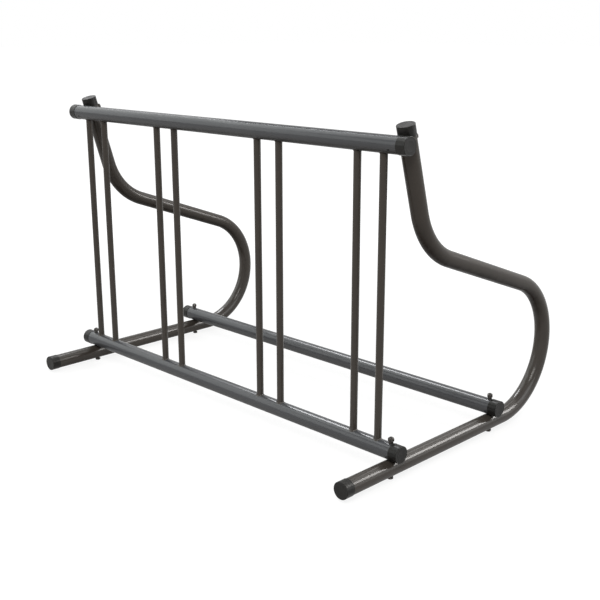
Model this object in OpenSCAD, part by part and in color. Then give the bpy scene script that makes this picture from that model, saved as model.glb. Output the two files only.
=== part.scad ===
// Grid bike rack for four bicycles: a welded grid of pipe rails and thin bars, bolted to two bent pipe end frames.
// Millimetres. +X runs along the rails, +Y runs back from the grid, +Z is up.
// The origin is on the ground, under the middle of the rack.

/* [Pipes and bars] */
// Outside diameter of the pipe of the end frames and rails
pipe_d = 48.3; // [44:0.1:52]
// Wall of the pipe of the end frames and rails
pipe_wall = 3.7; // [2.5:0.1:5]
// Outside diameter of the grid bars
bar_d = 21.3; // [16:0.1:28]
// Wall of the grid bars
bar_wall = 2.8; // [1.5:0.1:4]

/* [Rails and grid] */
// How far each rail pipe runs past the planes of the end frames, on average
rail_overhang = 41.5; // [41:0.5:60]
// Distance between the axes of the front rail and the top rail
grid_h = 836.5; // [780:0.5:900]
// Distance from the front rail back to the rear rail
rear_rail_setback = 470; // [420:1:540]
// Distance between the axes of the two bars that hold one wheel
slot_pitch = 90.7; // [70:0.1:110]
// Distance between the middles of the two inner wheel slots
middle_spacing = 481; // [300:1:700]
// Distance from the outermost bars to the planes of the end frames, on average
bar_to_frame = 41.35; // [36:0.05:80]
// Leg of the weld beads at the ends of the bars
weld_leg = 3; // [2:0.1:4]

/* [Vent holes of the top rail] */
// Diameter of the vent holes
vent_d = 6.5; // [4:0.1:9]
// Distance from an end of the top rail pipe to its vent hole
vent_inset = 51.5; // [50:0.5:60]
// How far below the front of the top rail the vent holes look, in degrees
vent_drop = 30; // [20:1:60]

/* [End frames] */
// Distance between the planes of the two end frames
frame_spacing = 1435; // [1432:1:1700]
// How far the end frames stand to the right of the middle of the rails
frame_shift = 6.5; // [0:0.5:6.5]
// Length of the foot pipe in front of the front rail
foot_front = 200; // [120:1:280]
// Length of straight foot behind the rear rail
rear_margin = 65; // [40:1:120]
// How much the pipe's wall is drawn in from both sides in a bend
bend_draw = 0.1; // [0.05:0.01:0.3]
// Centreline radius of the bend at the back
rear_bend_r = 214; // [190:1:230]
// Rise of the shelf towards the front, in degrees
shelf_rise = 20; // [14:0.5:26]
// Centreline radius of the bend under the head
head_bend_r = 219; // [180:1:240]
// Forward lean of the head, in degrees
head_lean = 16; // [10:0.5:20]
// Depth of the notch in each head that the top rail nests in
head_notch = 9.8; // [6:0.1:12]
// Length of head pipe above the middle of that notch
head_past = 38.8; // [38:0.1:70]

/* [Caps] */
// Length of a cap over all
cap_len = 30; // [20:0.5:31]
// Thickness of a cap's end
cap_end = 3; // [2:0.1:5]
// Thickness of a cap's skirt
cap_wall = 1.2; // [0.8:0.1:1.3]
// Gap all round between a cap and the pipe that it slips over
cap_fit = 0.05; // [0.02:0.01:0.1]
// Gap between a cap and what it is trimmed to clear
cap_trim = 0.1; // [0.05:0.05:0.5]
// Rounding of a cap's outer edge
cap_round = 1.6; // [0.5:0.1:1.9]

/* [Bolts and nuts] */
// Diameter of the bolts
bolt_d = 10; // [8:0.1:10.4]
// Gap all round between a bolt and a hole in a pipe
hole_gap = 0.5; // [0.2:0.1:0.8]
// Gap all round between a bolt and the thread that holds it
thread_gap = 0.05; // [0.02:0.01:0.1]
// Width across the flats of the bolt heads and nuts
hex_af = 16; // [14:0.1:17]
// Height of the bolt heads
head_h = 6.4; // [5:0.1:8]
// Height of a nut's hexagon
nut_h = 8.4; // [7:0.1:10]
// Height of the round collar on a nut that holds its locking ring
nut_collar_h = 1.6; // [1:0.1:2.5]
// Diameter of that collar
nut_collar_d = 14; // [12:0.1:15.5]
// Length of bolt that shows past its nut
bolt_past_nut = 1.8; // [1:0.1:4]
// Diameter of the saddle washers between round pipe and flat bolt heads or nuts
saddle_d = 13; // [12:0.1:13.8]
// Gap all round between a bolt and its saddle washer
saddle_gap = 0.3; // [0.1:0.05:0.6]
// Thickness of a saddle washer under a bolt head, over the crest of its pipe
saddle_t = 2.5; // [1.6:0.1:4]
// Thickness of the taller saddle washer under a base nut, over the crest of its rail
nut_saddle_t = 6.5; // [2:0.1:8]

/* [Threaded inserts of the top rail] */
// Diameter of an insert's sleeve, which fills its hole in the pipe
insert_d = 13; // [12.5:0.1:14]
// Length of an insert
insert_len = 16; // [12:0.5:20]
// Diameter of the collar that locks an insert behind the pipe's wall
insert_collar_d = 17; // [15:0.1:18]
// Height of that collar
insert_collar_h = 3; // [2:0.1:4]
// How far an insert's outer end lies below the crest of the pipe
insert_sink = 0.2; // [0.1:0.05:0.5]

/* [Hidden] */
$fn = 96;

LEFT = -1;
RIGHT = 1;
SIDES = [LEFT, RIGHT];
FRAME_COLOUR = [0.27, 0.25, 0.24];
RAIL_COLOUR = [0.33, 0.35, 0.37];
CAP_COLOUR = [0.10, 0.10, 0.10];
HARDWARE_COLOUR = [0.19, 0.18, 0.17];

pipe_r = pipe_d / 2;
pipe_bore_r = pipe_r - pipe_wall;
bar_r = bar_d / 2;
// How far a cutter reaches past what it cuts
past = 1;
// How far a bend reaches into the wall of the straight pipe next to it
bend_lap = 2;

// Heights above the ground. The rack stands on the four bolt heads under its feet.
foot_z = head_h + saddle_t + pipe_r;
rail_z = foot_z + pipe_d;
top_rail_z = rail_z + grid_h;

// Places along Y, with the front and back of the rack as far from the origin
bend_start = rear_rail_setback + rear_margin;
overall_depth = cap_end + foot_front + bend_start + rear_bend_r + pipe_r;
rail_y = cap_end + foot_front - overall_depth / 2;
rear_rail_y = rail_y + rear_rail_setback;

// Places along X
rail_len = frame_spacing + 2 * rail_overhang;
inner_slot_x = middle_spacing / 2;
outer_slot_x = frame_spacing / 2 - bar_to_frame - slot_pitch / 2;
SLOTS = [-outer_slot_x, -inner_slot_x, inner_slot_x, outer_slot_x];
BARS = [for (slot = SLOTS) for (side = SIDES) slot + side * slot_pitch / 2];
function frame_x(side) = frame_shift + side * frame_spacing / 2;

// Centreline of an end frame in its own plane, as [back, up]. A direction is its angle from straight back.
// The shelf is as long as it takes to bring the head to its place behind the top rail.
function heading(angle) = [cos(angle), sin(angle)];
function right_of(angle) = [sin(angle), -cos(angle)];
shelf_angle = 180 - shelf_rise;
head_angle = 90 + head_lean;
frame_front = [rail_y - foot_front, foot_z];
foot_end = [rail_y + bend_start, foot_z];
rear_centre = foot_end + [0, rear_bend_r];
shelf_start = rear_centre + rear_bend_r * right_of(shelf_angle);
head_step = head_bend_r * (right_of(shelf_angle) - right_of(head_angle));
to_head = heading(head_lean);
axis_gap = pipe_d - head_notch;
joint_centre = [rail_y, top_rail_z];
joint_on_head = joint_centre + axis_gap * to_head;
shelf_len = (joint_on_head - shelf_start - head_step) * to_head / (heading(shelf_angle) * to_head);
shelf_end = shelf_start + shelf_len * heading(shelf_angle);
head_centre = shelf_end + head_bend_r * right_of(shelf_angle);
head_start = shelf_end + head_step;
head_end = joint_on_head + head_past * heading(head_angle);
head_len = norm(head_end - head_start);

// Caps
cap_bore_r = pipe_r + cap_fit;
cap_r = cap_bore_r + cap_wall;
cap_skirt = cap_len - cap_end;

// Bolts, nuts, saddle washers and inserts
bolt_r = bolt_d / 2;
hole_r = bolt_r + hole_gap;
thread_r = bolt_r + thread_gap;
hex_corner_r = hex_af / 2 / cos(30);
bolt_chamfer = 0.8;
base_nut_z = rail_z + pipe_r + nut_saddle_t;
base_bolt_len = base_nut_z + nut_h + nut_collar_h + bolt_past_nut;
// Distances along a head bolt from the axis of the top rail
insert_outer = pipe_r - insert_sink;
insert_inner = insert_outer - insert_len;
head_bolt_seat = axis_gap + pipe_r + saddle_t;
head_bolt_tip = insert_inner + 2 * bolt_chamfer;

// Pipes

module pipe_section(draw = 0) {
    difference() {
        circle(pipe_r - draw);
        circle(pipe_bore_r + draw);
    }
}

// Local X becomes back, local Y becomes up and local Z becomes across
module in_side_plane(x) {
    translate([x, 0, 0])
        rotate([90, 0, 90])
            children();
}

module straight_pipe(from, angle, length) {
    translate([from.x, from.y, 0])
        rotate([0, 0, angle])
            rotate([0, 90, 0])
                linear_extrude(length)
                    pipe_section();
}

// A bend reaches a little way into the wall of the straight pipe at both its ends
module bent_pipe(centre, radius, from_angle, sweep) {
    lap = bend_lap / radius * 180 / PI;
    translate([centre.x, centre.y, 0])
        rotate([0, 0, from_angle - lap])
            rotate_extrude(angle = sweep + 2 * lap)
                translate([radius, 0])
                    pipe_section(bend_draw);
}

// A solid bar along X, centred on the rack
module across(y, z, radius, length) {
    translate([0, y, z])
        rotate([0, 90, 0])
            cylinder(r = radius, h = length, center = true);
}

module rail_pipe(y, z) {
    translate([0, y, z])
        rotate([0, 90, 0])
            linear_extrude(rail_len, center = true)
                pipe_section();
}

// The space that the top rail and its cap of one side need, where they cross a head
module top_rail_space(side, gap) {
    across(rail_y, top_rail_z, pipe_r + gap, rail_len + 2 * cap_len);
    translate([side * (rail_len / 2 - cap_skirt - gap), rail_y, top_rail_z])
        rotate([0, side * 90, 0])
            cylinder(r = cap_r + gap, h = 2 * cap_len);
}

// Places the bolt of a crossing at the base. Local Z starts at the ground.
module at_base_bolts() {
    for (side = SIDES)
        for (y = [rail_y, rear_rail_y])
            translate([frame_x(side), y, 0])
                children();
}

// Local Z runs from the axis of the top rail straight to the axis of the head
module at_head_bolt(side) {
    translate([frame_x(side), rail_y, top_rail_z])
        rotate([head_lean - 90, 0, 0])
            children();
}

module end_frame(side) {
    color(FRAME_COLOUR)
        difference() {
            in_side_plane(frame_x(side)) {
                straight_pipe(frame_front, 0, foot_front + bend_start);
                bent_pipe(rear_centre, rear_bend_r, -90, shelf_angle);
                straight_pipe(shelf_start, shelf_angle, shelf_len);
                bent_pipe(head_centre, head_bend_r, 90 + head_angle, shelf_angle - head_angle);
                straight_pipe(head_start, head_angle, head_len);
            }
            top_rail_space(side, 0);
            at_base_bolts()
                cylinder(r = hole_r, h = rail_z);
            at_head_bolt(side)
                cylinder(r = hole_r, h = axis_gap + pipe_d);
        }
}

module top_rail() {
    color(RAIL_COLOUR)
        difference() {
            rail_pipe(rail_y, top_rail_z);
            for (side = SIDES) {
                at_head_bolt(side)
                    cylinder(d = insert_d, h = pipe_d);
                translate([side * (rail_len / 2 - vent_inset), rail_y, top_rail_z])
                    rotate([90 + vent_drop, 0, 0])
                        cylinder(d = vent_d, h = pipe_d);
            }
        }
}

module base_rail(y) {
    color(RAIL_COLOUR)
        difference() {
            rail_pipe(y, rail_z);
            at_base_bolts()
                cylinder(r = hole_r, h = rail_z + pipe_d);
        }
}

// A bar from rail to rail, with its ends coped to them
module grid_bar(number) {
    color(FRAME_COLOUR)
        difference() {
            translate([BARS[number - 1], rail_y, rail_z])
                linear_extrude(grid_h)
                    difference() {
                        circle(bar_r);
                        circle(bar_r - bar_wall);
                    }
            across(rail_y, rail_z, pipe_r, rail_len);
            across(rail_y, top_rail_z, pipe_r, rail_len);
        }
}

// A bead round the end of each bar. Local Z runs from the axis of the rail along the bar.
module weld_beads() {
    bead_r = bar_r + weld_leg;
    color(FRAME_COLOUR)
        for (x = BARS)
            translate([x, 0, 0])
                difference() {
                    intersection() {
                        cylinder(r = bead_r, h = pipe_d);
                        across(0, 0, pipe_r + weld_leg, 2 * bead_r + past);
                    }
                    across(0, 0, pipe_r, 2 * bead_r + past);
                    cylinder(r = bar_r, h = pipe_d);
                }
}

module upper_welds() {
    translate([0, rail_y, top_rail_z])
        mirror([0, 0, 1])
            weld_beads();
}

module lower_welds() {
    translate([0, rail_y, rail_z])
        weld_beads();
}

// Caps

// Local Z points out of the pipe, from the pipe's end
module pipe_cap() {
    color(CAP_COLOUR)
        rotate_extrude()
            difference() {
                translate([0, -cap_skirt])
                    cap_outline();
                translate([0, -cap_skirt - past])
                    square([cap_bore_r, cap_skirt + past]);
            }
}

module cap_outline() {
    square([cap_r, cap_len - cap_round]);
    square([cap_r - cap_round, cap_len]);
    translate([cap_r - cap_round, cap_len - cap_round])
        circle(cap_round);
}

module foot_cap(side) {
    translate([frame_x(side), frame_front.x, frame_front.y])
        rotate([90, 0, 0])
            pipe_cap();
}

module head_cap(side) {
    color(CAP_COLOUR)
        difference() {
            translate([frame_x(side), head_end.x, head_end.y])
                rotate([head_lean, 0, 0])
                    pipe_cap();
            top_rail_space(side, cap_trim);
        }
}

module rail_cap(side, y, z) {
    translate([side * rail_len / 2, y, z])
        rotate([0, side * 90, 0])
            pipe_cap();
}

// Bolts, nuts and washers

// A hexagon with its corners turned off at both ends
module chamfered_hexagon(height) {
    flat_r = hex_af / 2;
    chamfer = (hex_corner_r - flat_r) * tan(30);
    intersection() {
        cylinder(r = hex_corner_r, h = height, $fn = 6);
        rotate_extrude()
            polygon([[0, 0], [flat_r, 0], [hex_corner_r, chamfer],
                [hex_corner_r, height - chamfer], [flat_r, height], [0, height]]);
    }
}

// Head at Z = 0 and below, shank up to length
module hex_bolt(length) {
    color(HARDWARE_COLOUR) {
        translate([0, 0, -head_h])
            chamfered_hexagon(head_h);
        cylinder(r = bolt_r, h = length - bolt_chamfer);
        translate([0, 0, length - bolt_chamfer])
            cylinder(r1 = bolt_r, r2 = bolt_r - bolt_chamfer, h = bolt_chamfer);
    }
}

module lock_nut() {
    color(HARDWARE_COLOUR)
        difference() {
            union() {
                chamfered_hexagon(nut_h);
                cylinder(d = nut_collar_d, h = nut_h + nut_collar_h);
            }
            translate([0, 0, -past])
                cylinder(r = thread_r, h = nut_h + nut_collar_h + 2 * past);
        }
}

// Local Z starts at the pipe's axis. The pipe runs along local X, or along local Y if turned 90 degrees.
module saddle_washer(turn, thickness = saddle_t) {
    color(HARDWARE_COLOUR)
        difference() {
            cylinder(d = saddle_d, h = pipe_r + thickness);
            cylinder(r = bolt_r + saddle_gap, h = pipe_d);
            rotate([0, 0, turn])
                across(0, 0, pipe_r, pipe_d);
        }
}

module base_bolts() {
    at_base_bolts()
        translate([0, 0, head_h])
            hex_bolt(base_bolt_len - head_h);
}

module base_nuts() {
    at_base_bolts()
        translate([0, 0, base_nut_z])
            lock_nut();
}

module base_upper_washers() {
    at_base_bolts()
        translate([0, 0, rail_z])
            saddle_washer(0, nut_saddle_t);
}

module base_lower_washers() {
    at_base_bolts()
        translate([0, 0, foot_z])
            mirror([0, 0, 1])
                saddle_washer(90);
}

module head_bolts() {
    for (side = SIDES)
        at_head_bolt(side)
            translate([0, 0, head_bolt_seat])
                mirror([0, 0, 1])
                    hex_bolt(head_bolt_seat - head_bolt_tip);
}

module head_washers() {
    for (side = SIDES)
        at_head_bolt(side)
            translate([0, 0, axis_gap])
                saddle_washer(90);
}

// Sleeves with a collar behind the wall, let into the back of the top rail
module rail_inserts() {
    color(HARDWARE_COLOUR)
        for (side = SIDES)
            at_head_bolt(side)
                difference() {
                    union() {
                        translate([0, 0, insert_inner])
                            cylinder(d = insert_d, h = insert_len);
                        intersection() {
                            translate([0, 0, pipe_bore_r - insert_collar_h])
                                cylinder(d = insert_collar_d, h = insert_collar_h);
                            across(0, 0, pipe_bore_r, pipe_d);
                        }
                    }
                    translate([0, 0, insert_inner - past])
                        cylinder(r = thread_r, h = insert_len + 2 * past);
                }
}

end_frame(LEFT);  // end_frame_left
end_frame(RIGHT);  // end_frame_right
top_rail();
base_rail(rail_y);  // front_rail
base_rail(rear_rail_y);  // rear_rail
for (number = [1:len(BARS)])
    grid_bar(number);
foot_cap(LEFT);  // foot_cap_left
foot_cap(RIGHT);  // foot_cap_right
head_cap(LEFT);  // head_cap_left
head_cap(RIGHT);  // head_cap_right
rail_cap(LEFT, rail_y, top_rail_z);  // top_rail_cap_left
rail_cap(RIGHT, rail_y, top_rail_z);  // top_rail_cap_right
rail_cap(LEFT, rail_y, rail_z);  // front_rail_cap_left
rail_cap(RIGHT, rail_y, rail_z);  // front_rail_cap_right
rail_cap(LEFT, rear_rail_y, rail_z);  // rear_rail_cap_left
rail_cap(RIGHT, rear_rail_y, rail_z);  // rear_rail_cap_right
upper_welds();
lower_welds();
base_bolts();
base_nuts();
base_upper_washers();
base_lower_washers();
head_bolts();
head_washers();
rail_inserts();
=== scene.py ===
# %% [markdown]
# # A grid bike rack
#
# The rack is steel pipe. Two of its three straight rails carry upright bars in pairs, and each pair
# holds one wheel. Two long pipes, bent twice, stand at the ends, and bolts hold the rails to them. Soft
# black caps close every open end.
#
# The straight rails and bars come from the CAD model as they are. This script adds what a drawing of
# the parts leaves out: one unbroken skin on the bent pipes, ripples in the weld beads, the soft form of
# dipped caps, turned and threaded bolts, and the finish of everything.

# %% Load the rack
import math
import bmesh
import bpy
import numpy as np
from mathutils import Matrix, Vector


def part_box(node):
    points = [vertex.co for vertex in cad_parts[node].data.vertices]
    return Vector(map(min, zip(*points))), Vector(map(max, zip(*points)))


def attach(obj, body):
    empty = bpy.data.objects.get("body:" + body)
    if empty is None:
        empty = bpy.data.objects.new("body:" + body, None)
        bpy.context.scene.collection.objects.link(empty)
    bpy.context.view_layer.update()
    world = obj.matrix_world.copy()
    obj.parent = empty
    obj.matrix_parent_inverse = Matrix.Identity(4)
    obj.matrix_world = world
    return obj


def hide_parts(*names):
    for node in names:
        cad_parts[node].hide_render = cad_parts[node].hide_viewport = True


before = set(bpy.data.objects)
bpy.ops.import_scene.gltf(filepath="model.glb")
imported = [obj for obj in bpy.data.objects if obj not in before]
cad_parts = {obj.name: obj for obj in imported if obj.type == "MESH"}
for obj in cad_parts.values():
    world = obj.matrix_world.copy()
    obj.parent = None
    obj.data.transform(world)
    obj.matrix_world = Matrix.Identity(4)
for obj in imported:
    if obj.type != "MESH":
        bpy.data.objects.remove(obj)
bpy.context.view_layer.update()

# %% [markdown]
# ## Sizes
#
# Blender works in metres. The names below are the ones that a pipe bender would use, and their values
# are those of the CAD model. Places that the model can tell are measured from its pieces.

# %% Sizes and places
PIPE_R = 0.02415
PIPE_WALL = 0.0037
BAR_R = 0.01065
REAR_BEND_R = 0.214
HEAD_BEND_R = 0.219
FOOT_FRONT = 0.200
SHELF_RISE = math.radians(20)
HEAD_LEAN = math.radians(16)
HEAD_NOTCH = 0.0098
HEAD_PAST = 0.0388


def middle(node):
    """The middle of a CAD piece's box."""
    low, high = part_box(node)
    return (np.array(low) + np.array(high)) / 2


RAIL_Y, RAIL_Z = middle("front_rail")[1:]
REAR_RAIL_Y = middle("rear_rail")[1]
TOP_RAIL_Z = middle("top_rail")[2]
RAILS = {
    "top_rail": (RAIL_Y, TOP_RAIL_Z),
    "front_rail": (RAIL_Y, RAIL_Z),
    "rear_rail": (REAR_RAIL_Y, RAIL_Z),
}
RAIL_LEN = 2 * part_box("top_rail")[1][0]
FRAME_X = {side: middle(f"end_frame_{side}")[0] for side in ("left", "right")}
FOOT_Z = RAIL_Z - 2 * PIPE_R
BARS = [f"grid_bar_{number}" for number in range(1, 9)]
BAR_X = np.array([middle(bar)[0] for bar in BARS])
print("rails at", {node: (round(y, 4), round(z, 4)) for node, (y, z) in RAILS.items()})
print("end frames at x", {side: round(x, 4) for side, x in FRAME_X.items()})

# %% [markdown]
# ## Camera
#
# The photograph was taken from the front right, a little above the top rail. The camera goes where the
# vanishing points and the known lengths of the rack put it. Its direction is written as two angles:
# how far round the rack it stands and how steeply it looks down.

# %% Camera
CAMERA_AT = Vector((2.3000, -2.2051, 1.2005))
AROUND = math.radians(45.099)
DOWN = math.radians(15.565)
ROLL = math.radians(-0.062)

back = Vector((math.sin(AROUND) * math.cos(DOWN), -math.cos(AROUND) * math.cos(DOWN), math.sin(DOWN)))
right = Vector((math.cos(AROUND), math.sin(AROUND), 0))
up = back.cross(right)
turn = Matrix((right, up, back)).transposed() @ Matrix.Rotation(ROLL, 3, "Z")
camera_data = bpy.data.cameras.new("camera")
camera_data.sensor_width = 36
camera_data.lens = 58.5
camera_data.shift_x, camera_data.shift_y = -0.00105, 0.00080
camera = bpy.data.objects.new("camera", camera_data)
camera.matrix_world = Matrix.Translation(CAMERA_AT) @ turn.to_4x4()
bpy.context.scene.collection.objects.link(camera)
bpy.context.scene.camera = camera
print("camera at", [round(c, 3) for c in CAMERA_AT], "with a lens of", camera_data.lens, "mm")

# %% [markdown]
# ## Studio
#
# A photograph of a dark, glossy thing is mostly a picture of what the thing reflects. Each round pipe
# mirrors only a ring of directions round its own axis. The rails mirror the left side of the room, and
# the feet and shelves mirror its far side. So wide cloths of light hang there, and give the pipes their
# light upper halves. The low parts of the rear bends turn away from both, so a cloth at the right is
# hung for them. One more cloth, high on the camera's side, is the key light. It shows the paint's own
# colour at a plain level.
#
# A line of light stays thin on a round pipe if its lamp is narrow across the pipe, and runs along the
# whole pipe if its lamp is long in the pipe's own direction. So each line lamp lies parallel to the
# pipes that it is for. The line lamps, the cloth over the top and the cloth for the bends are there
# only to be mirrored. Matt light leaves them out, so every colour still comes out as it is written.


# %% Lamps
def area_lamp(name, at, facing, size, radiance, colour, on_all):
    """A rectangular lamp at a point, facing a direction. Its first size runs level, along X or Y. Its
    watts follow from how bright its surface is: watts = radiance * pi * area. With on_all off, the lamp
    shows in gloss and adds nothing to matt light."""
    data = bpy.data.lights.new(name, "AREA")
    data.shape = "RECTANGLE"
    data.size, data.size_y = size
    data.energy = radiance * math.pi * size[0] * size[1]
    data.color = colour
    lamp = bpy.data.objects.new(name, data)
    z_axis = -Vector(facing).normalized()
    level = Vector((0, 1, 0)) if abs(facing[0]) > abs(facing[1]) else Vector((1, 0, 0))
    y_axis = z_axis.cross(level).normalized()
    axes = Matrix((y_axis.cross(z_axis), y_axis, z_axis)).transposed()
    lamp.matrix_world = Matrix.Translation(at) @ axes.to_4x4()
    lamp.visible_diffuse = on_all
    bpy.context.scene.collection.objects.link(lamp)
    print(name, "gives", round(data.energy, 1), "W from", at)


ALL, GLOSS = True, False
# Name, place, direction, size, radiance, colour, and whether it lights all or only gloss
LAMPS = [
    ("key_cloth", (2.6, -3.0, 4.2), (-2.3, 2.8, -3.8), (2.0, 2.0), 9.0, (1.0, 0.98, 0.95), ALL),
    ("left_cloth", (-4.2, -3.4, 2.75), (0.86, 0, -0.5), (8.0, 2.9), 2.1, (0.96, 1.0, 0.98), ALL),
    ("far_cloth", (0.5, 3.235, 4.24), (0, -0.68, -0.73), (3.4, 3.4), 2.4, (1.0, 0.99, 0.97), ALL),
    ("right_cloth", (6.0, 5.0, 1.3), (-0.75, -0.66, 0), (3.6, 2.6), 1.4, (0.98, 1.0, 1.0), ALL),
    ("top_cloth", (-1.7, -0.75, 3.2), (0.7, 0, -1), (1.8, 1.3), 3.0, (0.96, 1.0, 0.98), GLOSS),
    ("bend_cloth", (4.0, 1.05, 2.2), (-0.84, -0.16, -0.52), (2.2, 2.0), 3.2, (0.95, 0.98, 1.0), GLOSS),
    ("rail_line_lamp", (-3.9, 0.8, 3.0), (0, -1.2, -2.9), (2.8, 0.4), 4.0, (0.97, 0.98, 1.0), GLOSS),
    ("rail_end_line_lamp", (-3.1, 1.38, 4.6), (0, -1.6, -4.4), (2.4, 1.4), 20.0, (0.97, 0.98, 1.0), GLOSS),
    ("foot_line_lamp", (2.75, 3.95, 2.27), (-2.026, 0, -2.2), (3.7, 1.4), 16.0, (1.0, 0.98, 0.96), GLOSS),
]
for row in LAMPS:
    area_lamp(*row)

# %% [markdown]
# The world gives the soft light from all round. The camera, and gloss and glass, see plain white in its
# place. The floor sends a little warm light back up to the rack. Where it is seen, a glow of its own
# takes it to white, so that only the rack's soft shadow shows. The glow grows with distance, because
# the lamps light the floor less far out.


# %% World
def plain_shader(tree, kind, colour):
    """A shader node of one colour, which is red, green and blue."""
    node = tree.nodes.new(kind)
    node.inputs["Color"].default_value = (*colour, 1)
    return node


def light_or_look(tree, lighting, seen, output):
    """Sends one shader to the light that falls on things, and another to whatever looks straight at it.
    The factor between them is the largest of three flags: a ray of the camera, of gloss or of glass."""
    path = tree.nodes.new("ShaderNodeLightPath")
    factor = path.outputs["Is Camera Ray"]
    for flag in ("Is Glossy Ray", "Is Transmission Ray"):
        larger = tree.nodes.new("ShaderNodeMath")
        larger.operation = "MAXIMUM"
        tree.links.new(factor, larger.inputs[0])
        tree.links.new(path.outputs[flag], larger.inputs[1])
        factor = larger.outputs[0]
    choose = tree.nodes.new("ShaderNodeMixShader")
    tree.links.new(factor, choose.inputs["Fac"])
    tree.links.new(lighting.outputs[0], choose.inputs[1])
    tree.links.new(seen.outputs[0], choose.inputs[2])
    tree.links.new(choose.outputs[0], tree.nodes.new(output).inputs["Surface"])


FILL_STRENGTH = 0.34
world = bpy.data.worlds.new("studio")
world.use_nodes = True
bpy.context.scene.world = world
tree = world.node_tree
tree.nodes.clear()
fill = plain_shader(tree, "ShaderNodeBackground", (0.97, 0.985, 1.0))
fill.inputs["Strength"].default_value = FILL_STRENGTH
white = plain_shader(tree, "ShaderNodeBackground", (1, 1, 1))
light_or_look(tree, fill, white, "ShaderNodeOutputWorld")
bpy.context.scene.view_settings.view_transform = "Standard"
print("the soft light has a strength of", FILL_STRENGTH)


# %% Floor
def flat_face(name, finish, corners, height):
    """One level face with four corners, each x and y, and an empty material of its own. It belongs to
    the studio and not to the rack."""
    mesh = bpy.data.meshes.new(name)
    mesh.from_pydata([(x, y, height) for x, y in corners], [], [(0, 1, 2, 3)])
    material = bpy.data.materials.new(finish)
    material.use_nodes = True
    material.node_tree.nodes.clear()
    mesh.materials.append(material)
    obj = bpy.data.objects.new(name, mesh)
    bpy.context.scene.collection.objects.link(obj)
    return obj, material.node_tree


FLOOR_REACH = 60.0
GLOW_NEAR, GLOW_FAR = 1.2, 3.0
GLOW_LOW, GLOW_FULL = 0.84, 1.0

floor_corners = [(FLOOR_REACH * x, FLOOR_REACH * y) for x, y in ((-1, -1), (1, -1), (1, 1), (-1, 1))]
floor, tree = flat_face("floor", "pale_floor", floor_corners, 0)
lit = plain_shader(tree, "ShaderNodeBsdfDiffuse", (0.42, 0.36, 0.30))
seen = plain_shader(tree, "ShaderNodeBsdfDiffuse", (0.25, 0.25, 0.25))
far_off = tree.nodes.new("ShaderNodeVectorMath")
far_off.operation = "LENGTH"
tree.links.new(tree.nodes.new("ShaderNodeTexCoord").outputs["Object"], far_off.inputs[0])
rise = tree.nodes.new("ShaderNodeMapRange")
rise.interpolation_type = "SMOOTHSTEP"
rise.inputs["From Min"].default_value = GLOW_NEAR
rise.inputs["From Max"].default_value = GLOW_FAR
rise.inputs["To Min"].default_value = GLOW_LOW
rise.inputs["To Max"].default_value = GLOW_FULL
tree.links.new(far_off.outputs["Value"], rise.inputs["Value"])
glow = tree.nodes.new("ShaderNodeEmission")
tree.links.new(rise.outputs["Result"], glow.inputs["Strength"])
both = tree.nodes.new("ShaderNodeAddShader")
tree.links.new(seen.outputs[0], both.inputs[0])
tree.links.new(glow.outputs[0], both.inputs[1])
light_or_look(tree, lit, both, "ShaderNodeOutputMaterial")
print("floor of", 2 * FLOOR_REACH, "m")

# %% [markdown]
# The line lamp for the rails' ends would also draw a hard white line along the top rail. A photographer
# keeps a lamp off one thing with a black card on a stand, called a flag. This one hangs over the top
# rail, in the path from that lamp, and the camera doesn't see it.

# %% Flag
FLAG_HEIGHT = 1.3
FLAG_CORNERS = [(-0.36, -0.185), (0.44, -0.175), (0.44, -0.055), (-0.36, -0.020)]

flag, tree = flat_face("flag", "black_card", FLAG_CORNERS, FLAG_HEIGHT)
flag.visible_camera = False
black = plain_shader(tree, "ShaderNodeBsdfDiffuse", (0.02, 0.02, 0.02))
tree.links.new(black.outputs[0], tree.nodes.new("ShaderNodeOutputMaterial").inputs["Surface"])
print("the flag is", round(flag.dimensions.x, 2), "m long")

# %% [markdown]
# ## Effects that several finishes share
#
# A shader node group is a small machine with named sockets. Each effect below is built once and then
# placed in every material that needs it, with that material's own numbers.


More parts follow.
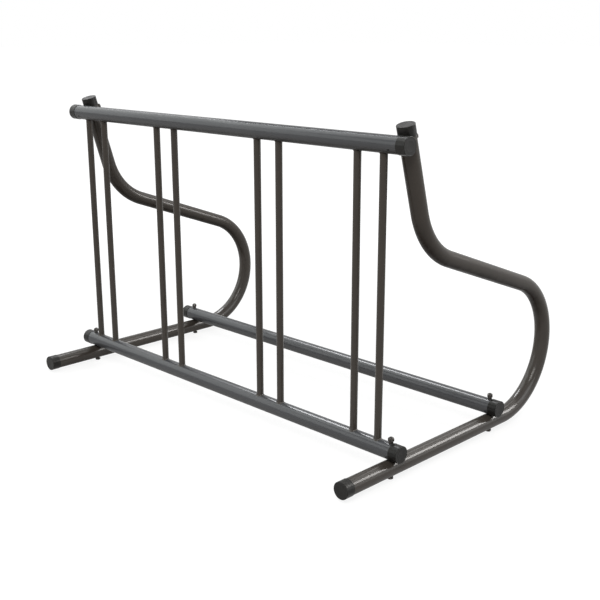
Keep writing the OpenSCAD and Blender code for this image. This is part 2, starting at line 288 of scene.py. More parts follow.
# %% A helper that builds a node group
class GroupBuilder:
    """A node group with named sockets, and short ways to add nodes and join them."""

    def __init__(self, name, inputs, outputs):
        self.tree = bpy.data.node_groups.new(name, "ShaderNodeTree")
        for label, kind, value in inputs:
            socket = self.tree.interface.new_socket(label, in_out="INPUT", socket_type=kind)
            if value is not None:
                socket.default_value = value
        for label, kind in outputs:
            self.tree.interface.new_socket(label, in_out="OUTPUT", socket_type=kind)
        self.source = self.tree.nodes.new("NodeGroupInput")
        self.sink = self.tree.nodes.new("NodeGroupOutput")

    def fill(self, socket, value):
        """Gives an input a number, or a link from another node."""
        if isinstance(value, bpy.types.NodeSocket):
            self.tree.links.new(value, socket)
        else:
            socket.default_value = value

    def put(self, kind, settings=None, **sockets):
        """Adds a node and fills its inputs. Each goes by its name, with _ for a space, or as n and its
        number."""
        node = self.tree.nodes.new(kind)
        for key, value in (settings or {}).items():
            setattr(node, key, value)
        for key, value in sockets.items():
            index = int(key[1:]) if key[0] == "n" and key[1:].isdigit() else key.replace("_", " ")
            self.fill(node.inputs[index], value)
        return node

    def math(self, operation, a, b=0.0, clamp=False):
        """One step of arithmetic on two values."""
        node = self.put("ShaderNodeMath", {"operation": operation, "use_clamp": clamp}, n0=a, n1=b)
        return node.outputs[0]

    def ramp(self, value, low, high, to_low=0.0, to_high=1.0):
        """A smooth rise from one value to another as the input goes from low to high."""
        limits = {"From_Min": low, "From_Max": high, "To_Min": to_low, "To_Max": to_high}
        node = self.put("ShaderNodeMapRange", {"interpolation_type": "SMOOTHSTEP"}, Value=value, **limits)
        return node.outputs["Result"]

    def noise(self, vector, scale, detail=2.0, roughness=0.5):
        """Soft cloudy noise from 0 to 1."""
        settings = {"Scale": scale, "Detail": detail, "Roughness": roughness}
        return self.put("ShaderNodeTexNoise", Vector=vector, **settings).outputs["Fac"]

    def cells(self, vector, scale, feature="F1", output="Distance"):
        """Cells of a Voronoi pattern: the distance to the nearest of many scattered points, or to the
        border of its cell, or a colour of the cell's own."""
        node = self.put("ShaderNodeTexVoronoi", {"feature": feature}, Vector=vector, Scale=scale)
        return node.outputs[output]

    def upward(self):
        """How far the surface looks up: the Z of its normal, from -1 to 1."""
        normal = self.put("ShaderNodeNewGeometry").outputs["Normal"]
        return self.put("ShaderNodeSeparateXYZ", Vector=normal).outputs["Z"]

    def give(self, label, value):
        """Joins a result to one of the group's outputs."""
        self.tree.links.new(value, self.sink.inputs[label])


V, F, C = "NodeSocketVector", "NodeSocketFloat", "NodeSocketColor"

# %% [markdown]
# **Paint film.** Powder paint is melted on. It never lies quite flat: the gloss shows a fine orange
# peel, the tone drifts a little along a pipe, and rain and hands leave duller patches.

# %% Paint film
g = GroupBuilder(
    "paint_film",
    [
        ("Vector", V, None),
        ("Colour", C, (0.1, 0.1, 0.1, 1)),
        ("Drift", F, 0.1),
        ("Gloss", F, 0.3),
        ("Dulling", F, 0.1),
    ],
    [("Colour", C), ("Roughness", F), ("Height", F)],
)
given = g.source.outputs
at = given["Vector"]
tone = g.math("SUBTRACT", g.noise(at, 7.0, 3.0), 0.5)
speck = g.math("MULTIPLY", g.math("SUBTRACT", g.noise(at, 420.0, 2.0), 0.5), 0.5)
drift = g.math("MULTIPLY", g.math("ADD", tone, speck), given["Drift"])
lift = g.math("ADD", g.math("MULTIPLY", drift, 2.0), 1.0)
tinted = g.put("ShaderNodeVectorMath", {"operation": "SCALE"}, n0=given["Colour"], Scale=lift)
g.give("Colour", tinted.outputs[0])
patches = g.ramp(g.noise(at, 18.0, 4.0, 0.6), 0.45, 0.7)
duller = g.math("MULTIPLY", patches, given["Dulling"])
g.give("Roughness", g.math("ADD", given["Gloss"], duller, True))
peel = g.noise(at, 260.0, 1.0)
grit = g.math("MULTIPLY", g.noise(at, 1500.0, 1.0), 0.25)
g.give("Height", g.math("ADD", peel, grit))
paint_film = g.tree
results = [item.name for item in paint_film.interface.items_tree if item.in_out == "OUTPUT"]
print("group", paint_film.name, "puts out", results)

# %% [markdown]
# **Dust.** Fine dust settles on whatever looks up, and rain washes it into soft patches. The surface's
# own normal says how far it looks up.

# %% Dust
g = GroupBuilder("settled_dust", [("Vector", V, None), ("Amount", F, 0.2)], [("Mask", F)])
flatness = g.ramp(g.upward(), 0.25, 1.0)
washed = g.ramp(g.noise(g.source.outputs["Vector"], 26.0, 5.0, 0.65), 0.3, 0.75)
settled = g.math("MULTIPLY", flatness, washed)
g.give("Mask", g.math("MULTIPLY", settled, g.source.outputs["Amount"], True))
settled_dust = g.tree
print("group", settled_dust.name, "is ready")

# %% [markdown]
# ** Splash.** Rain throws grit up from the ground. It takes the clear shine off whatever looks down, and
# leaves that side matt. A matt side mirrors less of a pale floor, so it looks darker. The paint also uses
# this mask to lay painted shade on what looks down.

# %% Splash
g = GroupBuilder("splash", [("Vector", V, None)], [("Mask", F)])
spots = g.ramp(g.noise(g.source.outputs["Vector"], 48.0, 4.0, 0.6), 0.3, 0.7, 0.75, 1.0)
g.give("Mask", g.math("MULTIPLY", g.ramp(g.upward(), 0.0, -0.75), spots, True))
splash = g.tree
print("group", splash.name, "is ready")

# %% [markdown]
# **Scuffs.** Tyres, pedals and locks leave short, fine scratches. Cells of a Voronoi pattern are long
# and thin when the coordinates are squeezed one way, and their borders make lines. A cloud of noise
# keeps only a few of them.

# %% Scuffs
g = GroupBuilder("scuffs", [("Vector", V, None), ("Reach", F, 1.0), ("Density", F, 0.3)], [("Mask", F)])
at = g.source.outputs["Vector"]
scratches = []
for lean, squeeze in (((0.0, 0.5, 0.2), (60.0, 60.0, 14.0)), ((0.4, 0.0, 1.1), (16.0, 70.0, 70.0))):
    squeezed = g.put("ShaderNodeMapping", Vector=at, Rotation=lean, Scale=squeeze).outputs[0]
    border = g.cells(squeezed, 1.0, "DISTANCE_TO_EDGE")
    scratches.append(g.ramp(border, 0.0, 0.035, 1.0, 0.0))
cloud = g.noise(at, 34.0, 3.0, 0.7)
limit = g.math("SUBTRACT", 0.78, g.math("MULTIPLY", g.source.outputs["Density"], 0.3))
kept = g.ramp(cloud, limit, g.math("ADD", limit, 0.06))
scratch = g.math("MULTIPLY", g.math("MAXIMUM", *scratches), kept)
g.give("Mask", g.math("MULTIPLY", scratch, g.source.outputs["Reach"], True))
scuffs = g.tree
print("group", scuffs.name, "is ready")

# %% [markdown]
# ## Finishes
#
# Each finish is one material round one Principled BSDF. The groups feed its colour, roughness and
# bump. Numbers that are the same all over sit on the shader's own sockets.


# %% A helper that starts a material
class Finish(GroupBuilder):
    """A material with one Principled BSDF, and the same short ways to add nodes."""

    def __init__(self, name, **constants):
        self.material = bpy.data.materials.new(name)
        self.material.use_nodes = True
        self.tree = self.material.node_tree
        self.tree.nodes.clear()
        self.shader = self.tree.nodes.new("ShaderNodeBsdfPrincipled")
        output = self.tree.nodes.new("ShaderNodeOutputMaterial")
        self.tree.links.new(self.shader.outputs[0], output.inputs["Surface"])
        self.at = self.tree.nodes.new("ShaderNodeTexCoord").outputs["Object"]
        for key, value in constants.items():
            self.shader.inputs[key.replace("_", " ")].default_value = value

    def group(self, tree, **sockets):
        """Places one of the shared groups."""
        return self.put("ShaderNodeGroup", {"node_tree": tree}, Vector=self.at, **sockets)

    def feed(self, label, value):
        """Joins a result to the shader."""
        self.tree.links.new(value, self.shader.inputs[label])

    def bump(self, height, strength, depth):
        """Turns a height into a tilt of the surface's normal. Depth is the real depth in metres."""
        node = self.put("ShaderNodeBump", Height=height, Strength=strength, Distance=depth)
        self.feed("Normal", node.outputs[0])

    def blend(self, factor, a, b):
        """A colour that goes from a to b as the factor goes from 0 to 1."""
        return self.put("ShaderNodeMix", {"data_type": "RGBA"}, n0=factor, n6=a, n7=b).outputs[2]


# %% [markdown]
# **Paint on the pipes.** The end frames and bars have a warm, brownish dark grey, and the rails a
# cooler grey. Both are the same kind of paint, so one function makes them, with other numbers. Scuffs
# are only as high as wheels and pedals reach.
#
# The shine is a thin clear skin on a nearly matt base, so the skin can be worn away while the colour
# stays. It is thinner under dust and scuffs and where grit splashes. Higher up, sun and hands have
# taken nearly a third of it, which is why the lines of light are sharpest near the ground. On the bent
# pipes and the bars, whatever looks down gets painted shade, from nothing at 0.12 m to full above
# 0.36 m: a darker colour and a thinner skin. The rails have none, so their last number is 0.


# %% Paint
# The first colour is painted shade, laid on whatever looks down.
UNDERSIDE_SHADE_COLOUR = (0.014, 0.010, 0.008, 1)
DUST_COLOUR = (0.20, 0.19, 0.17, 1)
SCUFF_COLOUR = (0.22, 0.21, 0.20, 1)
PEEL_DEPTH = 0.0002


def pipe_paint(name, colour, gloss, skin, shade_below):
    """Satin paint with orange peel, dust on top, scuffs at wheel height and painted shade on what looks
    down.
    The clear skin's weight is skin - 0.3 * (dust + scuffs) - skin * (the most that splash, height or
    painted shade took)."""
    m = Finish(name, Metallic=0.0, Specular_IOR_Level=0.03, Coat_Roughness=0.18, Coat_IOR=1.5)
    film = m.group(paint_film, Colour=colour, Drift=0.16, Gloss=gloss, Dulling=0.08)
    dust = m.group(settled_dust, Amount=0.1).outputs["Mask"]
    height = m.put("ShaderNodeSeparateXYZ", Vector=m.at).outputs["Z"]
    reach = m.math("MULTIPLY", m.ramp(height, 0.10, 0.25), m.ramp(height, 0.75, 0.55))
    rubbed = m.group(scuffs, Reach=reach, Density=0.35).outputs["Mask"]
    splash_and_shade = m.group(splash).outputs["Mask"]
    # Painted shade: a darker colour on whatever looks down, above the lowest part of the rack.
    underside_shade = m.math("MULTIPLY", splash_and_shade, m.ramp(height, 0.12, 0.36, 0.0, shade_below))
    shaded_colour = m.blend(underside_shade, film.outputs["Colour"], UNDERSIDE_SHADE_COLOUR)
    dusty = m.blend(dust, shaded_colour, DUST_COLOUR)
    m.feed("Base Color", m.blend(m.math("MULTIPLY", rubbed, 0.45), dusty, SCUFF_COLOUR))
    dull = m.math("ADD", film.outputs["Roughness"], m.math("MULTIPLY", dust, 0.35))
    m.feed("Roughness", m.math("ADD", dull, m.math("MULTIPLY", rubbed, 0.2), True))
    sunned = m.ramp(height, 0.2, 0.6, 0.0, 0.3)
    weathered = m.math("MAXIMUM", m.math("MULTIPLY", splash_and_shade, 0.9), sunned)
    weathered = m.math("MULTIPLY", m.math("MAXIMUM", weathered, underside_shade), skin)
    covered = m.math("MULTIPLY", m.math("ADD", dust, rubbed), 0.3)
    m.feed("Coat Weight", m.math("SUBTRACT", skin, m.math("ADD", covered, weathered), True))
    relief = m.math("SUBTRACT", film.outputs["Height"], m.math("MULTIPLY", rubbed, 0.6))
    m.bump(relief, 0.06, PEEL_DEPTH)
    return m.material


frame_paint = pipe_paint("frame_paint", (0.056, 0.048, 0.041, 1), 0.34, 0.48, 0.85)
rail_paint = pipe_paint("rail_paint", (0.070, 0.073, 0.080, 1), 0.34, 0.49, 0.0)
print("paints:", frame_paint.name, rail_paint.name)

# %% [markdown]
# **Vinyl.** The caps are dipped vinyl: nearly black, with a soft sheen. A dipped skin has faint flow
# marks and the odd pinhole, and it catches dust sooner than paint does.

# %% Vinyl
m = Finish("cap_vinyl", Metallic=0.0, Specular_IOR_Level=0.08, Coat_Roughness=0.22, Coat_IOR=1.5)
flow = m.noise(m.put("ShaderNodeMapping", Vector=m.at, Scale=(1.0, 1.0, 2.5)).outputs[0], 60.0, 3.0)
grain = m.noise(m.at, 900.0, 2.0)
pinholes = m.ramp(m.cells(m.at, 330.0), 0.0, 0.16, 1.0, 0.0)
dust = m.group(settled_dust, Amount=0.18).outputs["Mask"]
tone = m.blend(m.ramp(flow, 0.35, 0.7), (0.011, 0.011, 0.010, 1), (0.020, 0.019, 0.018, 1))
m.feed("Base Color", m.blend(dust, tone, (0.13, 0.125, 0.115, 1)))
dull = m.ramp(flow, 0.3, 0.7, 0.36, 0.5)
m.feed("Roughness", m.math("ADD", dull, m.math("MULTIPLY", dust, 0.3), True))
sheen = m.ramp(flow, 0.3, 0.7, 0.20, 0.12)
m.feed("Coat Weight", m.math("SUBTRACT", sheen, m.math("MULTIPLY", dust, 0.5), True))
relief = m.math("ADD", m.math("MULTIPLY", flow, 1.2), m.math("MULTIPLY", grain, 0.35))
m.bump(m.math("SUBTRACT", relief, pinholes), 0.2, 0.0002)
cap_vinyl = m.material
print("vinyl:", cap_vinyl.name)

# %% [markdown]
# **Steel of the bolts.** The zinc on bolts and nuts has gone dull and dark outdoors. Its corners are
# rubbed bright by the spanner. The piece carries that as a value on each vertex, named edge, which is
# 1 at a corner, so the finish knows where its corners are.

# %% Dulled zinc
m = Finish("hardware", Metallic=0.85)
spangle = m.put("ShaderNodeSeparateColor", Color=m.cells(m.at, 650.0, output="Color")).outputs[0]
grime = m.ramp(m.noise(m.at, 140.0, 4.0, 0.65), 0.4, 0.7)
edge = m.put("ShaderNodeAttribute", {"attribute_name": "edge"}).outputs["Fac"]
bright = m.math("MULTIPLY", edge, m.ramp(m.noise(m.at, 420.0, 3.0), 0.35, 0.6), True)
zinc = m.blend(spangle, (0.044, 0.041, 0.038, 1), (0.066, 0.062, 0.058, 1))
dirty = m.blend(grime, zinc, (0.026, 0.022, 0.019, 1))
m.feed("Base Color", m.blend(bright, dirty, (0.19, 0.18, 0.17, 1)))
dull = m.ramp(grime, 0.0, 1.0, 0.38, 0.62)
m.feed("Roughness", m.math("SUBTRACT", dull, m.math("MULTIPLY", bright, 0.15), True))
m.bump(m.noise(m.at, 1100.0, 2.0), 0.25, 0.0001)
hardware = m.material
print("steel:", hardware.name)

# %% [markdown]
# ## From numbers to a mesh
#
# Every new piece is a surface given by two parameters: how far along and how far round. Its points
# form a grid of rows and columns. The faces between them follow from the grid alone, so one function
# serves all the pieces.


# %% Grids and meshes
def grid_quads(rows, columns, ring_of_rows=False):
    """Four-sided faces between neighbouring points of a grid whose columns close round on themselves.
    Face (i, j) joins points (i, j), (i, j+1), (i+1, j+1) and (i+1, j)."""
    i, j = np.meshgrid(np.arange(rows if ring_of_rows else rows - 1), np.arange(columns), indexing="ij")
    i2, j2 = (i + 1) % rows, (j + 1) % columns
    corners = [i * columns + j, i * columns + j2, i2 * columns + j2, i2 * columns + j]
    return np.stack(corners, -1).reshape(-1, 4)


MERGE_WITHIN = 2e-6


def piece(name, grids, finish, stands_for, sharp=40.0, values=None):
    """Joins grids of points into one piece of the rack. Doubles are merged, so poles close, and faces
    are turned outwards. Each grid is (points of shape rows x columns x 3, ring_of_rows)."""
    points, faces, count = [], [], 0
    for grid, ring in grids:
        rows, columns = grid.shape[:2]
        points.append(grid.reshape(-1, 3))
        faces.append(grid_quads(rows, columns, ring) + count)
        count += rows * columns
    mesh = bpy.data.meshes.new(name)
    mesh.from_pydata(np.concatenate(points).tolist(), [], np.concatenate(faces).tolist())
    if values is not None:
        layer = mesh.attributes.new("edge", "FLOAT", "POINT")
        flat_values = np.concatenate([v.reshape(-1) for v in values])
        layer.data.foreach_set("value", flat_values.astype(np.float32))
    work = bmesh.new()
    work.from_mesh(mesh)
    bmesh.ops.remove_doubles(work, verts=work.verts, dist=MERGE_WITHIN)
    bmesh.ops.recalc_face_normals(work, faces=work.faces)
    work.to_mesh(mesh)
    work.free()
    mesh.polygons.foreach_set("use_smooth", np.ones(len(mesh.polygons), bool))
    mesh.set_sharp_from_angle(angle=math.radians(sharp))
    mesh.materials.append(finish)
    obj = bpy.data.objects.new(name, mesh)
    bpy.context.scene.collection.objects.link(obj)
    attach(obj, "root")
    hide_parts(*stands_for)
    low, high = np.array(obj.bound_box).min(0), np.array(obj.bound_box).max(0)
    print(name, len(mesh.polygons), "faces", np.round(high - low, 4))


# %% [markdown]
# ## The bent end frames
#
# A pipe bender makes each end frame from one straight length: a foot, a tight bend at the back, a
# shelf that rises forwards, a second bend and the head. A tube is a circle carried along that line. A
# curve with a round bevel would do it as well, but arrays give exact tangents where arcs meet straight
# runs, the pipe's wall and bore, and the saddle in the head where the top rail nests.


# %% Centreline of an end frame
def heading(angle):
    """Unit direction in the plane of an end frame, as (back, up), for an angle from straight back."""
    return np.stack([np.cos(angle), np.sin(angle)], -1)


def right_of(angle):
    """The direction 90 degrees clockwise of a heading."""
    return np.stack([np.sin(angle), -np.cos(angle)], -1)


def centreline():
    """Points and headings along the pipe. A straight run steps evenly. A bend keeps its distance from
    its centre as the heading turns evenly: point = centre + radius * right_of(heading) where it turns
    left, as the rear bend does, and minus where it turns right, as the head bend does."""
    shelf, head = math.pi - SHELF_RISE, math.pi / 2 + HEAD_LEAN
    start = np.array([RAIL_Y - FOOT_FRONT, FOOT_Z])
    foot_end = np.array([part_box("end_frame_left")[1][1] - PIPE_R - REAR_BEND_R, FOOT_Z])
    rear_centre = foot_end + [0, REAR_BEND_R]
    shelf_start = rear_centre + REAR_BEND_R * right_of(shelf)
    head_step = HEAD_BEND_R * (right_of(shelf) - right_of(head))
    to_head = heading(HEAD_LEAN)
    on_head = np.array([RAIL_Y, TOP_RAIL_Z]) + (2 * PIPE_R - HEAD_NOTCH) * to_head
    shelf_len = (on_head - shelf_start - head_step) @ to_head / (heading(shelf) @ to_head)
    shelf_end = shelf_start + shelf_len * heading(shelf)
    head_centre = shelf_end + HEAD_BEND_R * right_of(shelf)
    head_start = shelf_end + head_step
    head_end = on_head + HEAD_PAST * heading(head)
    rear_turn = np.linspace(0, shelf, 90)
    head_turn = np.linspace(shelf, head, 34)
    foot_run = np.linspace(start, foot_end, 16)[:-1]
    shelf_run = np.linspace(shelf_start, shelf_end, 12)[1:-1]
    head_run = np.linspace(head_start, head_end, 90)[1:]
    stretches = [
        (foot_run, np.zeros(len(foot_run))),
        (rear_centre + REAR_BEND_R * right_of(rear_turn), rear_turn),
        (shelf_run, np.full(len(shelf_run), shelf)),
        (head_centre - HEAD_BEND_R * right_of(head_turn), head_turn),
        (head_run, np.full(len(head_run), head)),
    ]
    points, headings = zip(*stretches)
    return np.concatenate(points), np.concatenate(headings)


line, line_headings = centreline()
step_lengths = np.linalg.norm(np.diff(line, axis=0), axis=1)
print("the pipe of one end frame is", round(step_lengths.sum(), 3), "m long")


# %% Skin of an end frame
def clear_of_rail(points, rail_r):
    """Moves what lies inside the top rail out to its surface: a saddle. Distance is measured from the
    rail's axis, and the move is straight away from it."""
    arm = points[..., 1:] - [RAIL_Y, TOP_RAIL_Z]
    distance = np.linalg.norm(arm, axis=-1, keepdims=True)
    out = points.copy()
    out[..., 1:] = [RAIL_Y, TOP_RAIL_Z] + arm * np.maximum(1, rail_r / np.maximum(distance, 1e-6))
    return out


def end_frame_skin(side, around=96):
    """A circle carried along the centreline. In its own plane a ring point lies at
    radius * (cos t * left of heading + sin t * across). Outer rings go up the pipe and bore rings come
    back down, so that the rows close into a pipe with a wall."""
    t = np.linspace(0, 2 * math.pi, around, endpoint=False)
    left = -right_of(line_headings)

    def rings(radius):
        """One ring of the given radius at each point of the centreline."""
        grid = np.empty((len(line), around, 3))
        grid[..., 0] = FRAME_X[side] + radius * np.sin(t)
        grid[..., 1:] = line[:, None, :] + radius * np.cos(t)[None, :, None] * left[:, None, :]
        return clear_of_rail(grid, PIPE_R)

    return np.concatenate([rings(PIPE_R), rings(PIPE_R - PIPE_WALL)[::-1]])


for side in FRAME_X:
    skin = [(end_frame_skin(side), True)]
    piece(f"end_frame_skin_{side}", skin, frame_paint, [f"end_frame_{side}"])

# %% [markdown]
# ## Finish of the straight pipes and bars
#
# The CAD pieces of the rails and bars are right as they are, bores and holes included. They only need
# their paint.


# %% Paint the CAD pieces
def dress(node, finish):
    """Gives a CAD piece one finish in place of its plain colour."""
    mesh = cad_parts[node].data
    mesh.materials.clear()
    mesh.materials.append(finish)


for node in RAILS:
    dress(node, rail_paint)
for node in BARS:
    dress(node, frame_paint)
for node in ("base_upper_washers", "base_lower_washers", "head_washers", "rail_inserts"):
    dress(node, hardware)
print("painted", len(RAILS), "rails and", len(BARS), "bars")

# %% [markdown]
# ## Weld beads
#
# The welder runs a bead round each end of each bar. Seen close, a bead is a row of overlapping
# ripples, one for each drop of metal. The bead follows the line where the bar meets the round rail, so
# it rises and falls as it goes round.


# %% Weld beads
WELD_LEG = 0.003
RIPPLE_ROOM = 0.0003
WELD_DISH = 1.25
RIPPLE_DEPTH = 0.00016
RIPPLE_LAG = 2.4
TOE_SINK = 0.00005
FIRST_SEED = {"upper_welds": 40, "lower_welds": 50}


def bead(x, rail_z, sense, seed, around=240, across=9):
    """Along t it goes round the bar. Where the bar's side lies y off the rail's axis, the rail's
    surface is sqrt(R^2 - y^2) from that axis. Across, s goes from the bar's side to the rail's skin:
    radius = bar + leg * s^1.25 and rise = leg * (1 - s)^1.25, which is slightly hollow, plus ripples
    that lag towards both toes. The leg is cut short to leave room for the ripples inside the CAD bead,
    and the toe on the rail sinks in by a hair."""
    chance = np.random.default_rng(seed)
    t = np.linspace(0, 2 * math.pi, around, endpoint=False)[:, None]
    s = np.linspace(0, 1, across)[None, :]
    wander = 1 + 0.06 * np.sin(2 * t + chance.uniform(0, 6)) + 0.05 * np.sin(5 * t + chance.uniform(0, 6))
    ripples = 30 + int(chance.integers(0, 5))
    phase = ripples * t + RIPPLE_LAG * (2 * s - 1) ** 2 + chance.uniform(0, 6)
    swell = RIPPLE_DEPTH * (np.abs(np.sin(phase / 2)) - 0.5) * np.sin(math.pi * s)
    leg = (WELD_LEG - RIPPLE_ROOM) * np.minimum(wander, 1.1)
    radius = BAR_R + leg * s ** WELD_DISH + swell
    y = radius * np.sin(t)
    skin = np.sqrt(PIPE_R ** 2 - y ** 2)
    rise = skin + leg * (1 - s) ** WELD_DISH + swell - TOE_SINK * s
    grid = np.stack([x + radius * np.cos(t), RAIL_Y + y, rail_z + sense * rise], -1)
    return grid.transpose(1, 0, 2)


for node, rail_z, sense in (("upper_welds", TOP_RAIL_Z, -1), ("lower_welds", RAIL_Z, 1)):
    beads = [(bead(x, rail_z, sense, FIRST_SEED[node] + i), False) for i, x in enumerate(BAR_X)]
    piece(f"rippled_{node}", beads, frame_paint, [node], sharp=80.0)

# %% [markdown]
# ## Caps
#
# A dipped cap has no sharp edge anywhere. Its rim is a soft bead, its skirt is a little uneven, and
# its end is slightly hollow with a small raised ring where the former was. It is a profile turned
# round the pipe's axis.

# %% Profile of a cap
CAP_LEN = 0.030
CAP_END = 0.003
CAP_BORE_R = PIPE_R + 0.00005
CAP_R = CAP_BORE_R + 0.0012
CAP_ROUND = 0.0016
CAP_MOUTH = CAP_END - CAP_LEN
LIP_H = 0.0009
FORMER_R = 0.0145
FORMER_W = 0.0009
FORMER_H = 0.00022
FACE_HOLLOW = 0.00035
FACE_DROP = 0.00023
FACE_EDGE = 0.0004
HOLLOW_EDGE = 0.004
SKIRT_IN = 0.0001
SKIRT_FOOT = 0.0016
LIP_BULGE = 0.00003
BORE_FOOT = 0.002


def cap_profile():
    """Pairs of (radius, height above the pipe's end), from the middle of the end face to the rim and
    back up inside. The face sinks as cos^2 towards its middle, and the former's ring on it is a bell
    curve. Rounded corners are quarter circles, and the lip is half an ellipse."""
    r = np.linspace(0, CAP_R - CAP_ROUND - FACE_EDGE, 20)
    ring = FORMER_H * np.exp(-(((r - FORMER_R) / FORMER_W) ** 2))
    hollow = FACE_HOLLOW * np.cos(np.clip(r / (CAP_R - HOLLOW_EDGE), 0, 1) * math.pi / 2) ** 2
    face = np.stack([r, CAP_END - hollow + ring - FACE_DROP], -1)
    a = np.linspace(math.pi / 2, 0, 9)
    round_r, round_z = CAP_R - CAP_ROUND, CAP_END - CAP_ROUND
    corner = np.stack([round_r + CAP_ROUND * np.cos(a), round_z + CAP_ROUND * np.sin(a)], -1)
    z = np.linspace(round_z, CAP_MOUTH + SKIRT_FOOT, 60)[1:]
    skirt = np.stack([np.full(len(z), CAP_R - SKIRT_IN), z], -1)
    a = np.linspace(0, -math.pi, 9)
    lip_r = (CAP_R - CAP_BORE_R) / 2 + LIP_BULGE
    lip = np.stack([CAP_BORE_R + lip_r * (1 + np.cos(a)), CAP_MOUTH + LIP_H * (1 + np.sin(a))], -1)
    inside = np.array([[CAP_BORE_R, CAP_MOUTH + BORE_FOOT], [CAP_BORE_R, 0.0], [0.0, 0.0]])
    return np.concatenate([face, corner, skirt, lip, inside])


PROFILE = cap_profile()
print("cap profile has", len(PROFILE), "points")


# %% Turn and place the caps
WAVE_DEPTH = 0.00012
WAVE_FADE = 0.01
SKIN_FROM, SKIN_OVER = 0.0003, 0.0008


def cap_grid(end, outward, seed, around=120):
    """Turns the profile round an axis through the pipe's end:
    point = end + radius * (cos t * first + sin t * second) + height * outward. A slow wave round the
    skirt's outer skin, at most 0.12 mm deep, stands for the uneven thickness of a dipped skin."""
    chance = np.random.default_rng(seed)
    outward = np.array(outward, float)
    first = np.cross(outward, [0.3, 1.0, 0.1])
    first /= np.linalg.norm(first)
    second = np.cross(outward, first)
    t = np.linspace(0, 2 * math.pi, around, endpoint=False)
    radius, height = PROFILE[:, :1], PROFILE[:, 1:]
    wave = np.sin(3 * t + chance.uniform(0, 6)) + 0.6 * np.sin(7 * t + 90 * height + chance.uniform(0, 6))
    outer = np.clip((radius - PIPE_R - SKIN_FROM) / SKIN_OVER, 0, 1) * np.clip(-height / WAVE_FADE, 0, 1)
    radius = radius - outer * WAVE_DEPTH / 2 * (1 + wave / 1.6)
    ring = np.cos(t)[None, :, None] * first + np.sin(t)[None, :, None] * second
    return np.array(end) + radius[..., None] * ring + height[..., None] * outward


def dipped_cap(name, grid):
    """One cap of the rack, from its grid of points."""
    piece(f"dipped_{name}", [(grid, False)], cap_vinyl, [name])


HEAD_CLEAR = 0.0001
seed = 0
for side, sense in (("left", -1), ("right", 1)):
    for rail, (y, z) in RAILS.items():
        seed += 1
        dipped_cap(f"{rail}_cap_{side}", cap_grid((sense * RAIL_LEN / 2, y, z), (sense, 0, 0), seed))
    dipped_cap(f"foot_cap_{side}", cap_grid((FRAME_X[side], *line[0]), (0, -1, 0), seed + 20))
    out_of_head = (0, *heading(math.pi / 2 + HEAD_LEAN))
    grid = cap_grid((FRAME_X[side], *line[-1]), out_of_head, seed + 30, around=240)
    over_cap = np.abs(grid[..., :1]) > RAIL_LEN / 2 + CAP_MOUTH - HEAD_CLEAR
    grid = clear_of_rail(grid, np.where(over_cap, CAP_R, PIPE_R) + HEAD_CLEAR)
    dipped_cap(f"head_cap_{side}", grid)

# %% [markdown]
# ## Bolts and nuts
#
# A bolt goes up through each foot and rail, with its hexagon head under the foot and a lock nut on
# top. Both hexagons have their corners turned off at 30 degrees, which leaves the curved edges that
# every real nut has. The bolt's end shows a few turns of thread.

# %% Sizes of the bolts
HEX_AF = 0.016
HEX_BEVEL = math.radians(30)
HEX_RIM = 0.97
BEVEL_ZONE = 0.0011
SIDE_FROM = 0.0016
CORNER_WEAR = 0.05
BEVEL_WEAR = 0.00035
HEAD_H = 0.0064
NUT_H = 0.0084
COLLAR_R = 0.007
COLLAR_H = 0.0016
COLLAR_ROUND = 0.0006
BOLT_R = 0.005
PITCH = 0.0015
THREAD_DEPTH = 0.0009
TIP_TAPER = 0.0011
THREAD_R = 0.00505
SADDLE_T = 0.0025
NUT_SADDLE_T = 0.0065
BOLT_PAST_NUT = 0.0018
THREAD_IN_NUT = 0.004
HEAD_BOLT_LEN = 0.05
OVERLAP = 0.001


# %% Surfaces of a hexagon and a thread
def hexagon(height, around=144):
    """Rows of rings from the middle of the lower face out, up the side and in to the middle of the
    upper face. The side's radius is that of a hexagon, flat / cos(t), or of a 30 degree cone that starts
    just inside the flats at each face, whichever is less. The second result is 1 near a corner or the
    edge where cone and hexagon meet."""
    t = np.linspace(0, 2 * math.pi, around, endpoint=False)[None, :]
    wedge = (t + math.pi / 6) % (math.pi / 3) - math.pi / 6
    flat = HEX_AF / 2
    side = flat / np.cos(wedge)
    rim = flat * HEX_RIM
    low = np.linspace(0, BEVEL_ZONE, 12)
    between = np.linspace(SIDE_FROM, height - SIDE_FROM, 6)
    z = np.concatenate([low, between, height - low[::-1]])[:, None]
    cone = rim + np.minimum(z, height - z) / math.tan(HEX_BEVEL)
    wall = np.minimum(side, cone)
    face = rim * np.array([[0.0], [0.5]]) * np.ones((1, around))
    r = np.concatenate([face, wall, face[::-1]])
    rows_z = np.concatenate([[0, 0], z[:, 0], [height, height]])[:, None] * np.ones((1, around))
    corner = np.exp(-(((np.abs(wedge) - math.pi / 6) / CORNER_WEAR) ** 2)) * np.ones_like(z)
    bevel_edge = np.exp(-(((cone - side) / BEVEL_WEAR) ** 2))
    worn = np.clip(np.maximum(corner, bevel_edge), 0, 1)
    unworn = np.zeros((2, around))
    return np.stack([r * np.cos(t), r * np.sin(t), rows_z], -1), np.concatenate([unworn, worn, unworn])


def turned_shape(profile, around=96, worn=0.0):
    """A profile of (radius, height) pairs turned round Z: x = radius * cos t and y = radius * sin t."""
    t = np.linspace(0, 2 * math.pi, around, endpoint=False)
    r, z = np.array(profile, float).T
    grid = np.stack([r[:, None] * np.cos(t), r[:, None] * np.sin(t), z[:, None] + 0 * t], -1)
    return grid, np.full(grid.shape[:2], worn)


def shank(bottom, top):
    """The plain part of a bolt: a cylinder with closed ends, as a profile turned round Z."""
    return turned_shape([(0, bottom), (BOLT_R, bottom), (BOLT_R, top), (0, top)])


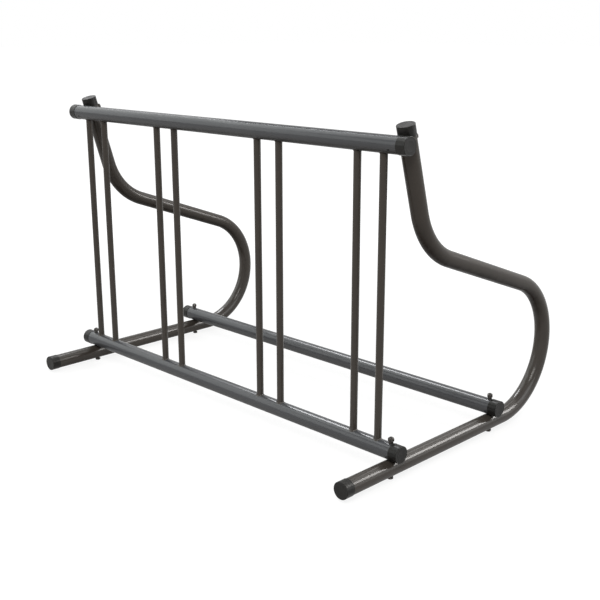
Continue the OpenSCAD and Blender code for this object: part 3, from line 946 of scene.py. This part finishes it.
def threaded_rod(bottom, top, around=48):
    """A rod whose radius rises and falls once in each pitch along the height, and whose phase goes
    round once with t: radius = outer - depth * triangle(z / pitch - t / 2 pi). Its end tapers."""
    t = np.linspace(0, 2 * math.pi, around, endpoint=False)[None, :]
    z = np.linspace(bottom, top, int((top - bottom) * 10 / PITCH))[:, None]
    saw = np.abs(((z / PITCH - t / (2 * math.pi)) % 1) * 2 - 1)
    r = BOLT_R - THREAD_DEPTH * np.clip(saw * 1.25 - 0.15, 0, 1)
    r = np.minimum(r, BOLT_R - TIP_TAPER + np.clip(top - z, 0, TIP_TAPER))
    r[0], r[-1] = 0, 0
    grid = np.stack([r * np.cos(t), r * np.sin(t), z + 0 * t], -1)
    return grid, np.clip((0.25 - saw) * 2, 0, 1) * np.ones_like(r)


def placed(grid, origin, z_axis, spin=0.0):
    """Turns local Z to a direction, spins round it and moves the whole to a point."""
    z_axis = Vector(z_axis).normalized()
    axes = z_axis.to_track_quat("Z", "Y").to_matrix() @ Matrix.Rotation(spin, 3, "Z")
    return grid @ np.array(axes).T + np.array(origin)


def fastener_piece(node, parts, places, z_axis, spins):
    """One piece of the rack with the same turned parts at each of several places. Every place has its
    own spin about the axis."""
    grids, values = [], []
    for place, spin in zip(places, spins):
        for grid, worn in parts:
            grids.append((placed(grid, place, z_axis, spin), False))
            values.append(worn)
    piece(f"turned_{node}", grids, hardware, [node], sharp=25.0, values=values)


# %% Make and place the bolts and nuts
base_nut_z = RAIL_Z + PIPE_R + NUT_SADDLE_T
base_top = base_nut_z + NUT_H + COLLAR_H + BOLT_PAST_NUT
crossings = [(x, y) for x in FRAME_X.values() for y in (RAIL_Y, REAR_RAIL_Y)]
spins = np.random.default_rng(7).uniform(0, math.pi / 3, len(crossings))
up_z = (0, 0, 1)

thread = threaded_rod(base_nut_z - THREAD_IN_NUT, base_top)
bolt = [hexagon(HEAD_H), shank(HEAD_H - OVERLAP, base_nut_z), thread]
fastener_piece("base_bolts", bolt, [(x, y, 0) for x, y in crossings], up_z, spins)

collar_top, round_r = NUT_H + COLLAR_H, COLLAR_R - COLLAR_ROUND
collar = [(THREAD_R, NUT_H - OVERLAP), (COLLAR_R, NUT_H - OVERLAP), (COLLAR_R, collar_top - COLLAR_ROUND)]
for a in np.linspace(0, math.pi / 2, 6)[1:]:
    drop = COLLAR_ROUND * (1 - math.sin(a))
    collar.append((round_r + COLLAR_ROUND * math.cos(a), collar_top - drop))
collar += [(THREAD_R + 0.0006, collar_top), (THREAD_R + 0.0002, collar_top - 0.0008)]
nut = [hexagon(NUT_H), turned_shape(collar, worn=0.25)]
fastener_piece("base_nuts", nut, [(x, y, base_nut_z) for x, y in crossings], up_z, spins[::-1])

out_of_rail = np.array([0, math.cos(HEAD_LEAN), math.sin(HEAD_LEAN)])
seat = 2 * PIPE_R - HEAD_NOTCH + PIPE_R + SADDLE_T
heads = [np.array([x, RAIL_Y, TOP_RAIL_Z]) + (seat + HEAD_H) * out_of_rail for x in FRAME_X.values()]
head_bolt = [hexagon(HEAD_H), shank(HEAD_H - OVERLAP, HEAD_BOLT_LEN)]
fastener_piece("head_bolts", head_bolt, heads, -out_of_rail, spins)
